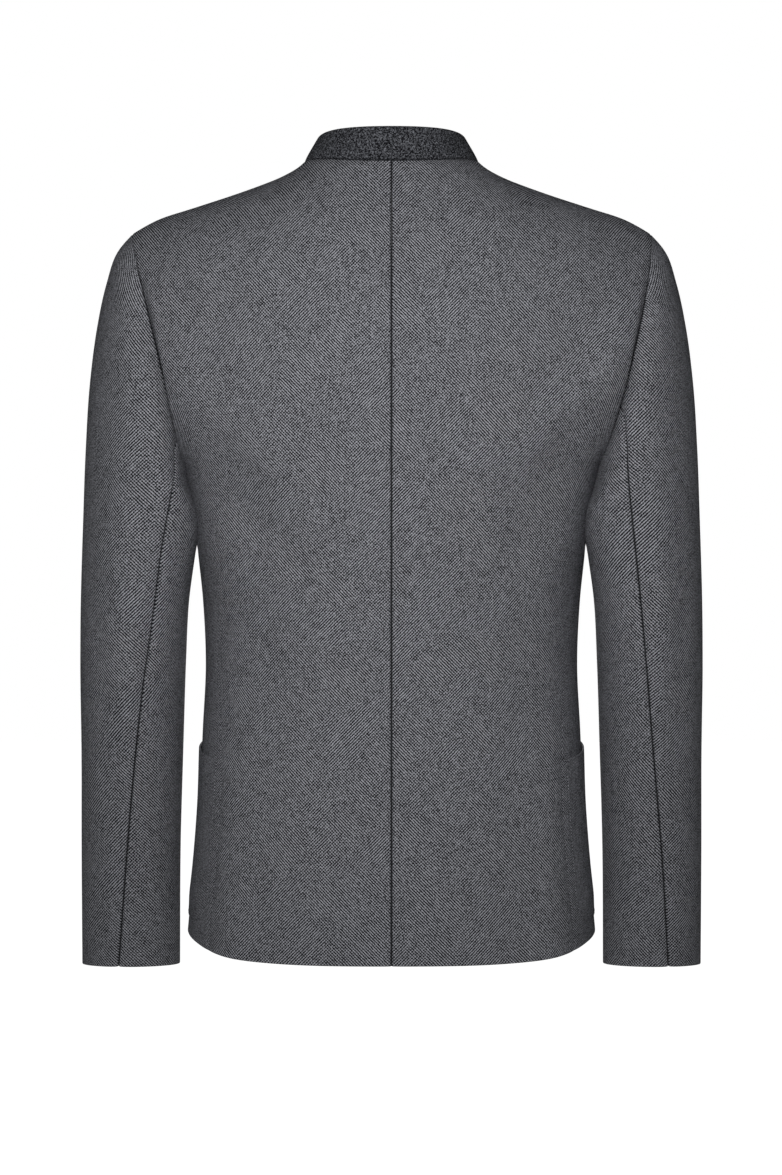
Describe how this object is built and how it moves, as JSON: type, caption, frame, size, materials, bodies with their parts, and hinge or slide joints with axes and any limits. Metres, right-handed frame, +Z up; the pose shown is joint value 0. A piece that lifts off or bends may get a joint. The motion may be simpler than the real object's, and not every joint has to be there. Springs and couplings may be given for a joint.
{
  "type": "stand-collar jacket",
  "caption": "Hollow, filled-out man's wool jacket with a low felt stand collar, set-in two-piece sleeves, buttoned front and patch pockets, worn on the shoulders.",
  "frame": {"origin": "midway between the two points where the shoulder seams meet the collar, where the wearer's shoulders carry the jacket", "axes": "+Z up, -Y towards the front of the jacket, +X towards the wearer's left"},
  "size_m": [0.5618, 0.2683, 0.7449],
  "materials": {
    "wool": "fine grey melange worsted wool, matt",
    "felt": "dark grey felted wool, matt and slightly fibrous",
    "horn": "dark horn-like resin, satin"
  },
  "bodies": {
    "root": {"back_left": "wool", "back_right": "wool", "front_left": "wool", "front_right": "wool", "upper_sleeve_left": "wool", "upper_sleeve_right": "wool", "under_sleeve_left": "wool", "under_sleeve_right": "wool", "pocket_left": "wool", "pocket_right": "wool", "collar": "felt", "button_1": "horn", "button_2": "horn", "button_3": "horn", "button_4": "horn", "button_5": "horn"}
  },
  "joints": []
}
